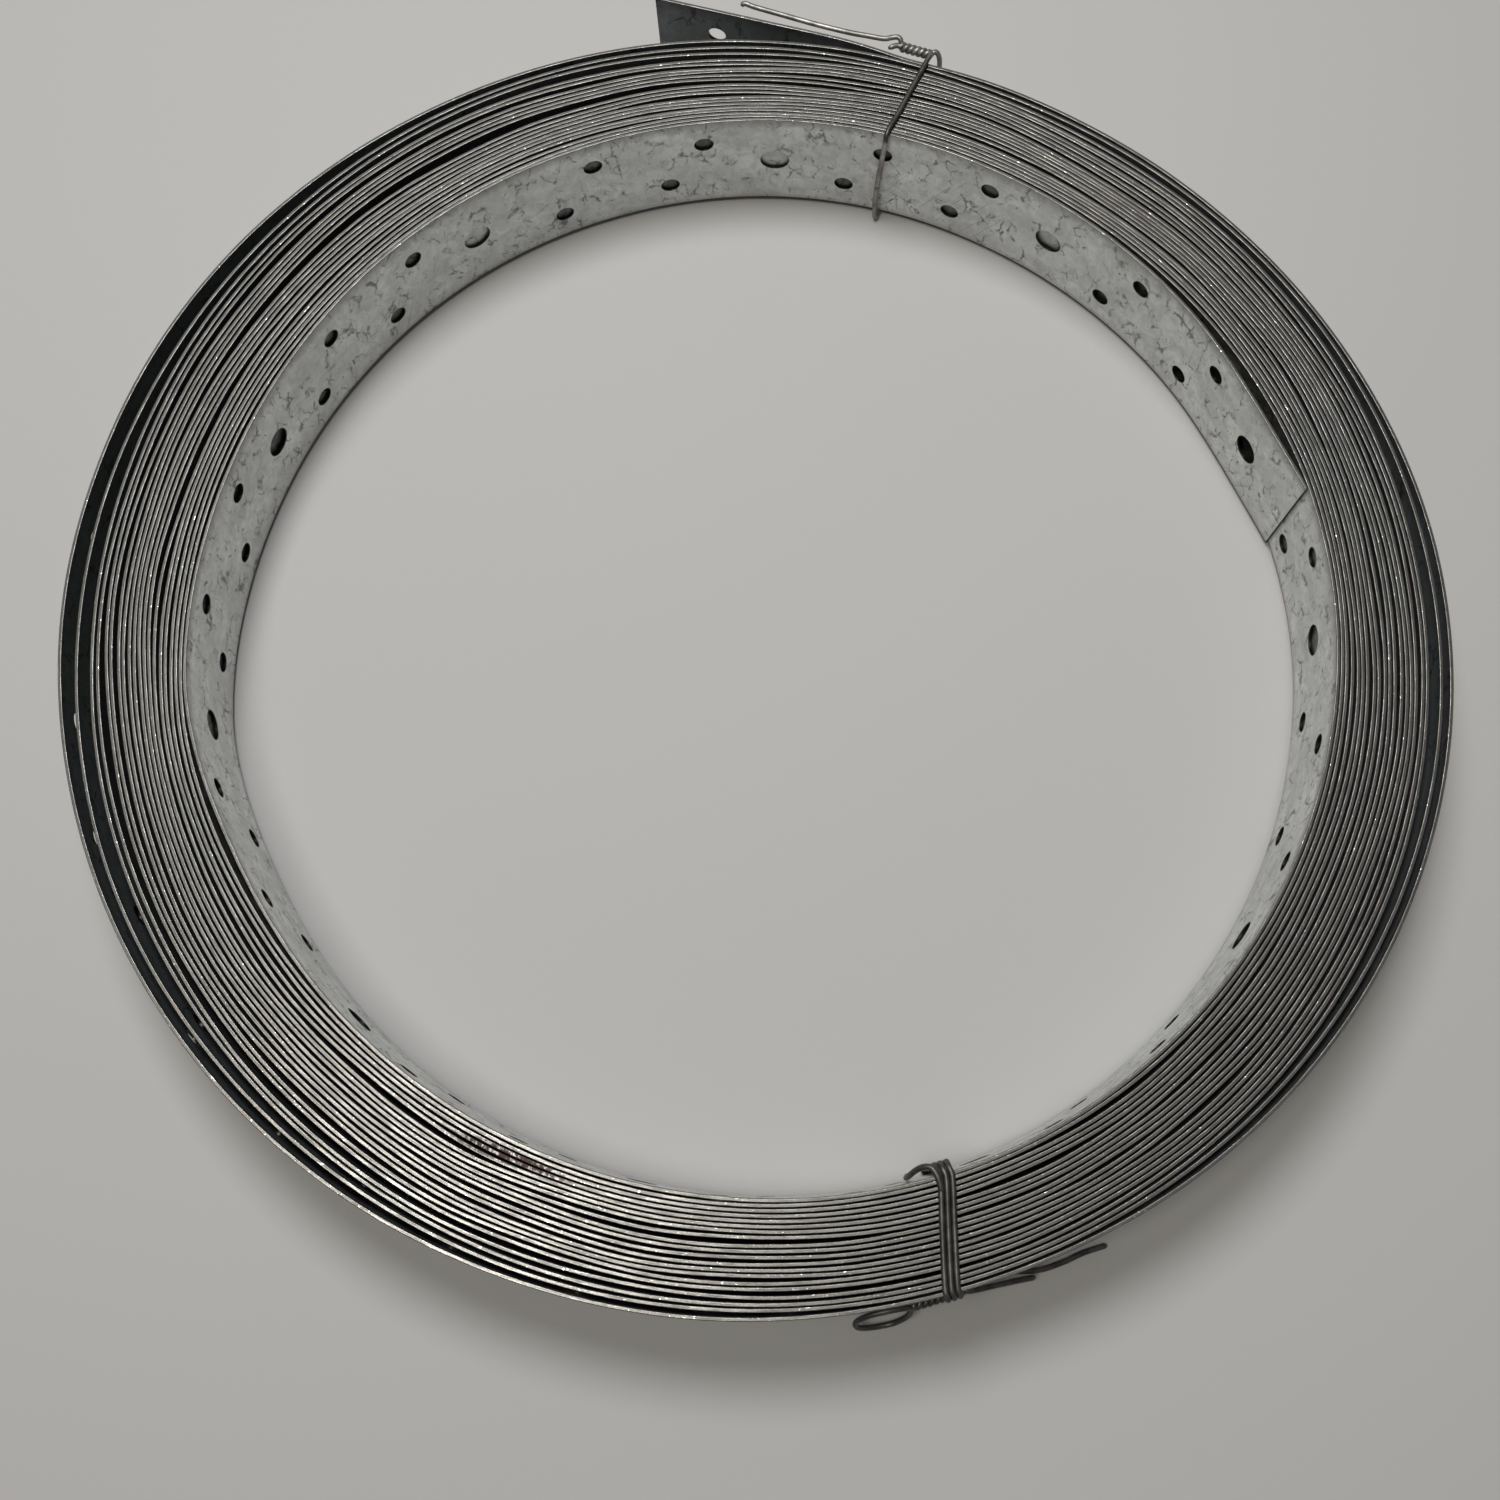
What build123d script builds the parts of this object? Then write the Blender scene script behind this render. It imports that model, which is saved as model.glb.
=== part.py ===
from build123d import *
import os
from math import cos, pi, radians, sin

# Coil of punched galvanised steel strap, lying on its side and held by two wire ties.
# Millimetres. The origin is on the coil's axis at floor level, +Z points up the axis,
# and the strap's flat tail points along -X. Angles are about +Z from +X, and the strap
# winds outwards the same way.

# Strap
STRAP_WIDTH = 30.0
STRAP_THICK = 0.8

# Punched holes: a large one on the strap's middle line, then four small ones in two rows
LARGE_HOLE = 6.5
SMALL_HOLE = 4.2
ROW_OFFSET = 7.0
GROUP = ((0.0, 0, LARGE_HOLE), (16.5, 1, SMALL_HOLE), (25.3, -1, SMALL_HOLE),
         (42.9, 1, SMALL_HOLE), (51.7, -1, SMALL_HOLE))
GROUP_SPACINGS = (68.2, 68.2, 73.6)
FIRST_GROUP = 14.1
CUT_AFTER_GROUP = 57.5

# Packed turns, wound tight enough to be one turned body
BORE_RADIUS = 119.0
PACKED_TURNS = 15
PACKED_GAP = 0.25
GROOVE_DEPTH = 0.9

# Parted turns outside them: the clear gap inside each, halfway round either side
LEFT_GAPS = (1.3, 1.2, 1.0, 2.4, 3.0)
RIGHT_GAPS = (0.5, 0.6, 0.4, 1.8, 1.5)
TIED_GAP = 0.17

# Free ends
INNER_END_ANGLE = 30.0
INNER_END_BOW = 2.2
INNER_END_BOWED = 45.0
INNER_END_REACH = 54.0
TAIL_ANGLE = 90.0
TAIL_LENGTH = 63.6

# Wire ties
WIRE = 1.2
WIRE_STANDOFF = 0.2
PASS_GAP = 0.05
TWIST_STANDOFF = 0.3
TWISTED_APART = 0.45
UPPER_TIE_ANGLE = 88.4
LOWER_TIE_ANGLE = 301.5
LOWER_TIE_PASSES = 3
TWIST_START = -1.0
TWIST_LENGTH = 10.0
UPPER_WIRE_TAIL = 36.0
HOOK = 1.5
LOWER_LOOP_RADIUS = 5.5
LOWER_WIRE_TAILS = ((33.8, 1.9), (17.0, 3.6))

# Flat sides that stand for round ones: to each turn, each hole punched in a turn, and the wire
SIDES_PER_TURN = 54
HOLE_SIDES = 8
WIRE_SIDES = 8
LOOP_SIDES = 12
CUT_CLEAR = 0.2

BOTTOM = WIRE + WIRE_STANDOFF
MIDDLE = BOTTOM + STRAP_WIDTH / 2
TOP = BOTTOM + STRAP_WIDTH
PACKED_PITCH = STRAP_THICK + PACKED_GAP
PACKED_RADIUS = BORE_RADIUS + PACKED_TURNS * PACKED_PITCH - PACKED_GAP
PARTED_TURNS = len(LEFT_GAPS)
TIED_PITCH = STRAP_THICK + TIED_GAP
OUTER_RADIUS = PACKED_RADIUS + PARTED_TURNS * TIED_PITCH
TWIST_RADIUS = OUTER_RADIUS + TWIST_STANDOFF + WIRE
SIDE_ANGLE = 360.0 / SIDES_PER_TURN
FLAT_SHARE = cos(radians(SIDE_ANGLE / 2))
INNER_END_SIDES = round(INNER_END_REACH / SIDE_ANGLE)
INNER_END_MERGE = INNER_END_SIDES * SIDE_ANGLE


def polar(radius, angle):
    """The point at this radius and angle, in degrees, on the coil's plane."""
    return (radius * cos(radians(angle)), radius * sin(radians(angle)))


def packed_body():
    """The packed turns as one ring, each turn's edge a ridge on both ends."""
    half = [(BORE_RADIUS, 0.0)]
    for turn in range(1, PACKED_TURNS):
        outer = BORE_RADIUS + turn * PACKED_PITCH - PACKED_GAP
        half.append((outer if turn == 1 else outer - STRAP_THICK / 2, 0.0))
        half.append((outer + PACKED_GAP / 2, GROOVE_DEPTH))
    half.append((PACKED_RADIUS - STRAP_THICK, 0.0))
    half.append((PACKED_RADIUS, 0.0))
    lower = [(radius * FLAT_SHARE, BOTTOM + depth) for radius, depth in half]
    upper = [(radius * FLAT_SHARE, TOP - depth) for radius, depth in reversed(half)]
    with BuildPart() as segment:
        with BuildSketch(Plane.XZ):
            with BuildLine():
                Polyline(*lower, *upper, close=True)
            make_face()
        extrude(amount=PACKED_RADIUS * radians(SIDE_ANGLE), both=True)
        split(bisect_by=Plane.XZ.rotated((0, 0, SIDE_ANGLE / 2)), keep=Keep.TOP)
        split(bisect_by=Plane.XZ.rotated((0, 0, -SIDE_ANGLE / 2)), keep=Keep.BOTTOM)
    middles = [INNER_END_ANGLE + SIDE_ANGLE * (i + 0.5) for i in range(SIDES_PER_TURN)]
    turned = [Location((0, 0, 0), (0, 0, middle)) * segment.part for middle in middles]
    return turned[0] + turned[1:]


def parted_face_radius(turns):
    """Radius of the parted strap's outer face, this many turns on from where it leaves the packed body."""
    angle = (turns * 360.0) % 360.0
    left_span = LOWER_TIE_ANGLE - TAIL_ANGLE
    if angle < left_span:
        gaps, share = LEFT_GAPS, angle / left_span
    else:
        gaps, share = RIGHT_GAPS, (angle - left_span) / (360.0 - left_span)
    inside = min(int(turns) + 1, PARTED_TURNS)
    return PACKED_RADIUS + turns * TIED_PITCH + sum(gaps[:inside]) * sin(pi * share) ** 2


def strap_between(radii_and_angles, tail=0.0):
    """A strap whose outer face runs through these points, then straight for the tail."""
    outer = [polar(radius, angle) for radius, angle in radii_and_angles]
    inner = [polar(radius - STRAP_THICK, angle) for radius, angle in radii_and_angles]
    if tail:
        outer.append((outer[-1][0] - tail, outer[-1][1]))
        inner.append((inner[-1][0] - tail, inner[-1][1]))
    with BuildPart() as strap:
        with BuildSketch(Plane.XY.offset(BOTTOM)):
            with BuildLine():
                Polyline(*outer, *reversed(inner), close=True)
            make_face()
        extrude(amount=STRAP_WIDTH)
    return strap.part


def parted_strap():
    """The outer turns, which part from the packed body between the ties, and the flat tail."""
    steps = PARTED_TURNS * SIDES_PER_TURN
    turns = [i / SIDES_PER_TURN for i in range(steps + 1)]
    return strap_between([(parted_face_radius(t), TAIL_ANGLE + 360.0 * t) for t in turns], TAIL_LENGTH)


def inner_face_radius(along):
    """Radius of the first turn's inner face, this many degrees on from the strap's inner end."""
    if along >= INNER_END_MERGE:
        return BORE_RADIUS
    lift = (STRAP_THICK + TIED_GAP) * (1.0 - along / INNER_END_MERGE)
    if along < INNER_END_BOWED:
        lift += INNER_END_BOW * sin(pi * along / INNER_END_BOWED) ** 2
    return BORE_RADIUS - lift


def inner_end():
    """The strap's inner end, bowed away from the turn behind it until it joins the packed body."""
    along = [SIDE_ANGLE * i for i in range(INNER_END_SIDES + 1)]
    return strap_between([(inner_face_radius(a) + STRAP_THICK, INNER_END_ANGLE + a) for a in along])


def hole_cutter(radius, angle, row, diameter):
    """A radial punch through the strap whose outer face has corners of this radius beside this angle."""
    from_flat = (angle - INNER_END_ANGLE) % SIDE_ANGLE - SIDE_ANGLE / 2
    surface = radius * FLAT_SHARE / cos(radians(from_flat))
    place = Location((0, 0, MIDDLE + row * ROW_OFFSET), (0, 0, angle))
    punch = Location((surface + CUT_CLEAR, 0, 0), (0, -90, 0))
    outline = RegularPolygon(diameter / 2, HOLE_SIDES, major_radius=False)
    return place * punch * extrude(outline, STRAP_THICK + 2 * CUT_CLEAR)


def hole_places(length):
    """Distance along the strap, row and diameter of each hole within this length of the inner end."""
    start, group = FIRST_GROUP, 0
    while start < length:
        for offset, row, diameter in GROUP:
            if start + offset < length:
                yield start + offset, row, diameter
        start += GROUP_SPACINGS[group % len(GROUP_SPACINGS)]
        group += 1


def bore_holes():
    """The holes of the first turn, which lines the bore."""
    turn_length = 2 * pi * (BORE_RADIUS + STRAP_THICK / 2)
    cutters = []
    for along, row, diameter in hole_places(turn_length - LARGE_HOLE):
        turned = 360.0 * along / turn_length
        radius = inner_face_radius(turned) + STRAP_THICK
        cutters.append(hole_cutter(radius, INNER_END_ANGLE + turned, row, diameter))
    return cutters


def tail_hole_places(length):
    """Distance from the outer end, row and diameter of each hole, walking back along the strap."""
    start, group = CUT_AFTER_GROUP, 0
    while start - GROUP[-1][0] < length:
        for offset, row, diameter in GROUP:
            if SMALL_HOLE < start - offset < length:
                yield start - offset, row, diameter
        start += GROUP_SPACINGS[group % len(GROUP_SPACINGS)]
        group += 1


def outer_holes():
    """The holes of the flat tail and of the outermost turn."""
    cutters = []
    mean_radius = OUTER_RADIUS + sum(LEFT_GAPS) / 4 + sum(RIGHT_GAPS) / 4 - STRAP_THICK / 2
    for back, row, diameter in tail_hole_places(TAIL_LENGTH + 2 * pi * mean_radius):
        if back <= TAIL_LENGTH:
            drill = Location((back - TAIL_LENGTH, OUTER_RADIUS - STRAP_THICK / 2, MIDDLE + row * ROW_OFFSET),
                             (90, 0, 0))
            cutters.append(drill * Cylinder(diameter / 2, STRAP_THICK + 2 * CUT_CLEAR))
            continue
        turns = PARTED_TURNS - (back - TAIL_LENGTH) / (2 * pi * mean_radius)
        cutters.append(hole_cutter(parted_face_radius(turns), TAIL_ANGLE + 360.0 * turns, row, diameter))
    return cutters


def strap_coil():
    """The whole strap: packed turns, parted turns, tail and inner end, with its holes."""
    return packed_body() + [parted_strap(), inner_end()] - [*bore_holes(), *outer_holes()]


def wire_along(points, closed=False):
    """Tie wire along these straight runs, with mitred corners."""
    path = Polyline(*points, close=closed)
    section = Plane(origin=path @ 0, z_dir=path % 0) * RegularPolygon(WIRE / 2, WIRE_SIDES)
    return sweep(section, path, transition=Transition.RIGHT)


def tie_passes(count):
    """Passes of tie wire side by side round the coil's section, with the coil's radius along +X."""
    away = WIRE / 2 + WIRE_STANDOFF
    near, far = BORE_RADIUS * FLAT_SHARE - away, OUTER_RADIUS + away
    low, high = BOTTOM - away, TOP + away
    passes = []
    for i in range(count):
        side = (i - (count - 1) / 2) * (WIRE + PASS_GAP)
        corners = [(near, side, MIDDLE), (near, side, low), (far, side, low), (far, side, high), (near, side, high)]
        passes.append(wire_along(corners, closed=True))
    return passes


def twist(start, length, height):
    """The two ends of a tie wound together, as a bar of twice the wire, along the coil's outside."""
    place = Location((TWIST_RADIUS, start, height), (-90, 0, 0))
    return place * extrude(RegularPolygon(WIRE, WIRE_SIDES), length)


def upper_tie():
    """The upper tie: one pass, a short twist at the top edge and a long tail beside the strap's tail."""
    height = TOP + WIRE / 2
    end = TWIST_START + TWIST_LENGTH
    tip = end + UPPER_WIRE_TAIL
    tail = wire_along([(TWIST_RADIUS, end - WIRE, height), (TWIST_RADIUS, tip, height),
                       (TWIST_RADIUS + HOOK, tip + HOOK, height + HOOK)])
    tie = Part() + [*tie_passes(1), twist(TWIST_START, TWIST_LENGTH, height), tail]
    return Location((0, 0, 0), (0, 0, UPPER_TIE_ANGLE)) * tie


def lower_loop(start, height):
    """The bight of the lower tie's wire that sticks out flat against the coil before the twist."""
    corners = [(i + 0.5) * 2 * pi / LOOP_SIDES for i in range(LOOP_SIDES)]
    first = LOWER_LOOP_RADIUS * cos(pi / LOOP_SIDES)
    middle = start - LOWER_LOOP_RADIUS
    points = [(TWIST_RADIUS, middle + first, height)]
    for turn in corners:
        along, up = LOWER_LOOP_RADIUS * cos(turn), LOWER_LOOP_RADIUS * sin(turn)
        points.append((TWIST_RADIUS, middle + along, height + up))
    return wire_along(points, closed=True)


def lower_tie():
    """The lower tie: three passes, a twist low on the outside, a loop before it and two tails after it."""
    height = WIRE + LOWER_LOOP_RADIUS
    start = -TWIST_LENGTH
    parts = [*tie_passes(LOWER_TIE_PASSES), twist(start - WIRE, TWIST_LENGTH + 3 * WIRE, height)]
    parts.append(lower_loop(start, height))
    for side, (reach, spread) in zip((1, -1), LOWER_WIRE_TAILS):
        level = height + side * TWISTED_APART
        parts.append(wire_along([(TWIST_RADIUS, WIRE, level), (TWIST_RADIUS, reach / 2, level),
                                 (TWIST_RADIUS + spread, reach, WIRE)]))
    return Location((0, 0, 0), (0, 0, LOWER_TIE_ANGLE)) * (Part() + parts)


os.makedirs("parts", exist_ok=True)
export_step(strap_coil(), "parts/strap_coil.step")
export_step(upper_tie(), "parts/upper_tie_wire.step")
export_step(lower_tie(), "parts/lower_tie_wire.step")
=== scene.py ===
import random
from math import cos, pi, radians, sin, tau

import bpy
import numpy as np
from mathutils import Matrix, Vector
from mathutils.geometry import delaunay_2d_cdt


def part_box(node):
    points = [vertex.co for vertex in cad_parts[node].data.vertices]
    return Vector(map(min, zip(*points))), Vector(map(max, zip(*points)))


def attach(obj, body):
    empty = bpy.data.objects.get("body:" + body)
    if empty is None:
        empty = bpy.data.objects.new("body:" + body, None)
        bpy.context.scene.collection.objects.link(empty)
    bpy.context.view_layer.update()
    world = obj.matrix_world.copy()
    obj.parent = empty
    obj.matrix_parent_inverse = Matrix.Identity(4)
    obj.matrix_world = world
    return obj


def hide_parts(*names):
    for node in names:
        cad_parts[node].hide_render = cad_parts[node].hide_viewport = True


# Coil of punched galvanised strap with two wire ties, in the part's own frame. Lengths are in
# millimetres and become metres where a mesh, a material or the camera is made. Only the floor and
# the lamps are given in metres, and the noise in the materials by its patterns to a metre. A place
# along the coil is counted in turns from the strap's inner end, and angles are about +Z from +X.

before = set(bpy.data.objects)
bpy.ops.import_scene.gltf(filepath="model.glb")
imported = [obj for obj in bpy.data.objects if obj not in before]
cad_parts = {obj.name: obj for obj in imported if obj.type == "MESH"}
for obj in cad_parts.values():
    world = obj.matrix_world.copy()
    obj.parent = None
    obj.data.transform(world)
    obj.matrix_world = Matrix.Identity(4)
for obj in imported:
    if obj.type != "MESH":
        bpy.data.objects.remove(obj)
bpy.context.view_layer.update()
MM = 0.001

# Section of the strap
strap_low, strap_high = (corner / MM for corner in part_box("strap_coil"))
STRAP_WIDTH = strap_high.z - strap_low.z
STRAP_THICK = 0.8
EDGE_ROUND = 0.18
HALF_WIDTH = STRAP_WIDTH / 2
HALF_THICK = STRAP_THICK / 2
MIDDLE = (strap_low.z + strap_high.z) / 2
TOP = strap_high.z
BOTTOM = strap_low.z

# Ends of the strap's route in degrees, its tail, the least gap between turns, and samples to a turn
INNER_END_ANGLE = 28.6
TAIL_ANGLE = 450.0
TURNS_BEFORE_LAST = 19
END_TURNS = TURNS_BEFORE_LAST + (TAIL_ANGLE - INNER_END_ANGLE) / 360.0
TAIL_LENGTH = 63.6
TAIL_STEP = 1.0
TAIL_SPRING = 1.8
TAIL_SPRING_REACH = 12.0
CLEAR = 0.03
STEPS = 360

# First turn, bowed off the second at its end and kinked on the left: angle, radius of the middle line
FIRST_TURN = (
    (28.6, 119.6), (34, 117.9), (39, 117.2), (50, 117.35), (65, 117.5), (78, 117.9), (90, 118.4),
    (110, 118.85), (135, 119.0), (160, 119.1), (176, 119.2), (186, 119.6), (196, 120.3), (204, 120.5),
    (211, 119.4), (218, 118.1), (226, 117.45), (240, 117.3), (260, 117.4), (275, 117.75), (290, 118.5),
    (300, 119.0), (312, 119.4), (330, 119.6), (345, 119.8), (360, 120.0), (378, 120.35), (390, 120.3))
SECOND_TURN = (
    (390, 120.3), (400, 119.85), (410, 119.3), (420, 118.8), (435, 118.75), (450, 119.25), (470, 119.7),
    (495, 119.85), (510, 120.0), (525, 120.3), (540, 120.7), (550, 121.0), (560, 121.4), (567, 121.3),
    (574, 120.5), (582, 119.5), (592, 118.7), (600, 118.4), (620, 118.45), (640, 119.0), (660, 119.8),
    (680, 120.4), (700, 120.7), (725, 121.0), (750, 121.2))
# The three loose turns outside, from +Y on: angle counted on through them, radius
LOOSE_TURNS = (
    (90, 134.75), (105, 136.1), (120, 138.3), (135, 139.8), (150, 140.4), (165, 140.6), (180, 140.4),
    (200, 140.1), (215, 139.5), (230, 138.6), (245, 138.0), (262, 137.6), (280, 137.3), (300, 137.5),
    (320, 138.2), (340, 138.6), (355, 138.7), (370, 138.3), (385, 137.8), (400, 137.1), (415, 135.9),
    (430, 135.0), (440, 135.1), (450, 135.65), (465, 137.6), (480, 139.6), (495, 141.2), (510, 142.2),
    (530, 143.0), (550, 143.5), (565, 143.1), (580, 142.4), (595, 141.0), (610, 139.8), (630, 138.8),
    (645, 138.3), (660, 138.5), (675, 139.1), (690, 140.0), (710, 141.0), (725, 141.2), (740, 140.6),
    (755, 139.6), (770, 138.2), (785, 137.0), (797, 136.6), (807, 137.0), (815, 138.1), (825, 139.35),
    (840, 141.5), (855, 143.3), (870, 145.2), (885, 146.6), (900, 147.0), (915, 147.1), (925, 146.4),
    (940, 145.1), (955, 143.7), (970, 142.2), (985, 140.8), (1000, 140.1), (1015, 139.6), (1030, 140.1),
    (1045, 141.4), (1060, 142.6), (1075, 143.2), (1090, 143.2), (1105, 142.3), (1120, 140.6), (1135, 139.0),
    (1150, 138.0), (1162, 138.0), (1170, 138.0))
TURNS_BEFORE_LOOSE = 17
LOOSE_ANGLE, LOOSE_RADIUS = LOOSE_TURNS[0]
LOOSE_FROM = TURNS_BEFORE_LOOSE + (LOOSE_ANGLE - INNER_END_ANGLE) / 360.0

# Wider gaps that show between the other turns: angle, radius, half length in degrees, width
WIDE_GAPS = (
    (8, 127.0, 12, 0.5), (14, 136.5, 12, 0.5), (20, 130.6, 10, 0.6), (22, 124.8, 9, 0.35),
    (34, 133.7, 12, 0.3), (40, 126.4, 8, 0.35), (48, 124.7, 8, 0.3), (50, 134.7, 14, 0.55),
    (58, 123.8, 8, 0.35), (80, 128.7, 42, 0.6), (84, 123.8, 10, 0.15), (124, 136.0, 24, 0.7),
    (122, 137.9, 36, 1.2), (140, 130.7, 48, 1.6), (158, 136.2, 28, 1.0), (165, 139.0, 36, 0.5),
    (160, 124.9, 18, 0.4), (152, 123.4, 16, 0.3), (182, 127.6, 22, 0.7), (205, 135.6, 28, 0.6),
    (212, 137.4, 30, 0.9), (214, 138.9, 26, 0.5), (203, 133.2, 12, 0.3), (228, 131.2, 14, 0.3),
    (226, 123.6, 12, 0.3), (242, 136.1, 18, 1.0), (250, 122.3, 14, 0.6), (248, 133.2, 16, 0.5),
    (262, 131.3, 20, 0.4), (260, 129.2, 12, 0.3), (262, 135.6, 14, 0.5), (284, 133.1, 10, 0.5),
    (286, 135.4, 9, 0.4), (276, 126.2, 12, 0.3), (310, 124.4, 8, 0.1), (308, 127.1, 8, 0.35),
    (317, 129.6, 7, 0.4), (320, 121.4, 12, 0.3), (328, 126.6, 9, 0.4), (327, 132.6, 7, 0.35),
    (345, 134.7, 12, 0.3), (350, 128.2, 10, 0.3), (338, 123.2, 9, 0.3))
# Small gaps anywhere: how many, and from and to what half length in degrees and what width
SMALL_GAPS = 170
SMALL_GAP_REACH = (5, 18)
SMALL_GAP_WIDTH = (0.05, 0.35)
GAP_SEED = 5
GAP_TAPER = 1.5

# Settling of the turns: in each round, the share and the most by which a gap or an overlap is mended
SETTLING_ROUNDS = 1500
GAP_SHARE = 0.25
GAP_MOST = 0.4
OVERLAP_SHARE = 0.5
OVERLAP_MOST = 1.0
SMOOTHING_ROUNDS = 4

# Uneven height of the turns: waves to a turn and their depth, each with a finer and shallower one
HEIGHT_RIPPLES = ((2.41, 0.07), (6.83, 0.05), (17.3, 0.03))
FINER = 1.31
SHALLOWER = 0.7
RIPPLE_SEED = 11

# Punched holes, in groups: distance from the group's start, row and diameter
LARGE_HOLE = 6.5
SMALL_HOLE = 4.2
ROW_OFFSET = 7.0
GROUP = ((0.0, 0, LARGE_HOLE), (16.5, 1, SMALL_HOLE), (25.3, -1, SMALL_HOLE), (42.9, 1, SMALL_HOLE),
         (51.7, -1, SMALL_HOLE))
GROUP_LENGTH = GROUP[-1][0]
GROUP_SPACINGS = (68.3, 68.3, 73.8)
FIRST_GROUP = 17.7
CUT_AFTER_GROUP = 57.5
# The turns whose holes can be seen, from either end
INNER_PUNCHED = 1.12
OUTER_PUNCHED = 2.1

# Mesh of the strap: column spacing on punched and on plain turns, rows on the punched ones, and
# the steps over an edge from the inner face to the outer one, as distance from the cut and depth
PUNCHED_STEP = 2.6
PLAIN_STEP = 3.4
ROWS = (-10.6, -7.0, -3.4, 0.0, 3.4, 7.0, 10.6)
EDGE_STEPS = ((EDGE_ROUND, -HALF_THICK), (0.0, -HALF_THICK + EDGE_ROUND),
              (0.0, HALF_THICK - EDGE_ROUND), (EDGE_ROUND, HALF_THICK))
FACE = 0
EDGE = 1
# Mesh of a hole, the plain margin kept round it, and how near counts as on its rim or as one point
HOLE_SIDES = 24
HOLE_CIRCLE = [(cos(tau * k / HOLE_SIDES), sin(tau * k / HOLE_SIDES)) for k in range(HOLE_SIDES)]
HOLE_MARGIN = 0.9
ON_RIM = 0.01
SAME_POINT = 1e-5
SAME_DIGITS = 4

# Wire of the ties, its clearance from the strap, and points and sides of its mesh
WIRE = 1.2
OVER_STRAP = WIRE / 2 + 0.1
BELOW_LOWER_TIE = WIRE / 2 + 0.07
WIRE_STEP = 0.5
WIRE_SIDES = 12
WIRE_TIP = 0.55
RING_START = (0.3, 0.5, 0.8)
CURVE_POINTS = 24
TWIST_POINTS = 16
LOWER_TIE_ANGLE = 301.5
LOWER_TIE_PASSES = 3
LOWER_TIE_PITCH = WIRE + 0.02
# The lower tie's loop outside the coil and its wire's free ends: radius, distance along the coil and height
LOWER_LOOP = (
    (141.9, -10.4, 11.8), (141.4, -14.0, 12.6), (141.2, -18.0, 12.0), (141.7, -20.7, 10.0),
    (142.7, -21.3, 7.4), (143.7, -20.2, 5.0), (144.4, -17.4, 3.6), (144.7, -14.0, 3.6),
    (144.2, -11.4, 5.4), (143.2, -10.0, 8.2))
LOWER_TAILS = (
    ((141.5, 6.0, 6.4), (141.7, 12.0, 5.2), (143.0, 17.8, 4.2), (143.0, 23.2, 3.2), (142.5, 28.0, 2.2),
     (142.5, 33.2, 1.2)),
    ((142.3, 2.4, 11.2), (142.9, 7.5, 9.4), (143.5, 12.2, 6.6), (144.1, 16.6, 4.4)))

# Zinc coating, its marks, and the painted shade between the turns and behind the holes
ZINC_DULL = (0.55, 0.56, 0.55)
ZINC_PALE = (0.80, 0.82, 0.81)
ZINC_MOTTLE = (0.46, 0.465, 0.46)
ZINC_GRAIN = (0.72, 0.73, 0.71)
MARGIN_DARK = (0.20, 0.20, 0.19)
MARGIN_FROM = 12.6
MARGIN_TO = 15.2
MARGIN_WANDER = 1.6
SCRATCH_DARK = (0.16, 0.16, 0.15)
CRACK_DARK = (0.09, 0.09, 0.085)
CRACK_WANDER = (2.2, 3.0, 0.0)
PAINTED_SHADE_PACKED = (0.12, 0.123, 0.13)
PAINTED_SHADE_LOOSE = (0.25, 0.26, 0.275)
BLEND = 3.0
ZINC_UNEVEN = 0.06
ZINC_ROUGH = 0.02
# Painted light: the band of the second turn that light reaches through the large holes of the first
PAINTED_LIGHT_COLOUR = (0.92, 0.92, 0.92)
PAINTED_LIGHT_FROM = (40.0, 60.0)
PAINTED_LIGHT_TO = (230.0, 260.0)
PAINTED_LIGHT_HALF_HEIGHT = 3.4

# Sheared steel, with the place where it has rusted, and the painted shade on the hole walls
STEEL_DARK = (0.12, 0.118, 0.112)
STEEL_PALE = (0.285, 0.282, 0.267)
STEEL_PATCH = (0.13, 0.127, 0.118)
STEEL_GRAIN = (0.055, 0.054, 0.050)
GLINT = (0.95, 0.95, 0.92)
RUST = (0.075, 0.042, 0.03)
RUST_CENTRE = (-17.2, -119.0, 31.4)
RUST_REACH = (14.0, 1.7, 50.0)
RUST_TURN = -0.10
HOLE_WALL_PAINTED_SHADE = (0.22, 0.22, 0.22)
WALL_WITHIN = 12.0
STEEL_UNEVEN = 0.06
STEEL_ROUGH = 0.03

# Annealed wire, darker where it lies over the coil, and darker on the lower tie, there in part as painted
# shade
WIRE_DARK = (0.19, 0.185, 0.175)
WIRE_PALE = (0.37, 0.36, 0.335)
WIRE_DARKER_AND_PAINTED_SHADE = (0.36, 0.36, 0.37)
OVER_COIL = (30.0, 31.2)
OUTSIDE_COIL = (138.5, 140.0)
WIRE_ROUGH = 0.03

# Viewpoint: its place, its turns about X, Y and Z in radians, and the lens
CAMERA_PLACE = (34.90, -106.88, 355.29)
CAMERA_TURNS = (0.2508977, 0.0214230, radians(15.4))
SENSOR = 36.0
LENS = 39.184
NEAREST = 10.0

# Floor and light
FLOOR_HALF = 2.5
FLOOR_COLOUR = (0.50, 0.495, 0.485)
FLOOR_ROUGHNESS = 0.85
FLOOR_GLOSS = 0.2
SKY_COLOUR = (1.0, 0.985, 0.965)
SKY_STRENGTH = 0.15


def metres(*lengths):
    return tuple(length * MM for length in lengths)


def curve_through(points, places):
    """A smooth curve through these (place, value) points, read at these places."""
    x = np.array([p[0] for p in points], float)
    y = np.array([p[1] for p in points], float)
    slope = np.gradient(y, x)
    i = np.clip(np.searchsorted(x, places, side="right") - 1, 0, len(x) - 2)
    span = x[i + 1] - x[i]
    u = (places - x[i]) / span
    return ((2 * u**3 - 3 * u**2 + 1) * y[i] + (u**3 - 2 * u**2 + u) * span * slope[i]
            + (3 * u**2 - 2 * u**3) * y[i + 1] + (u**3 - u**2) * span * slope[i + 1])


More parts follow.
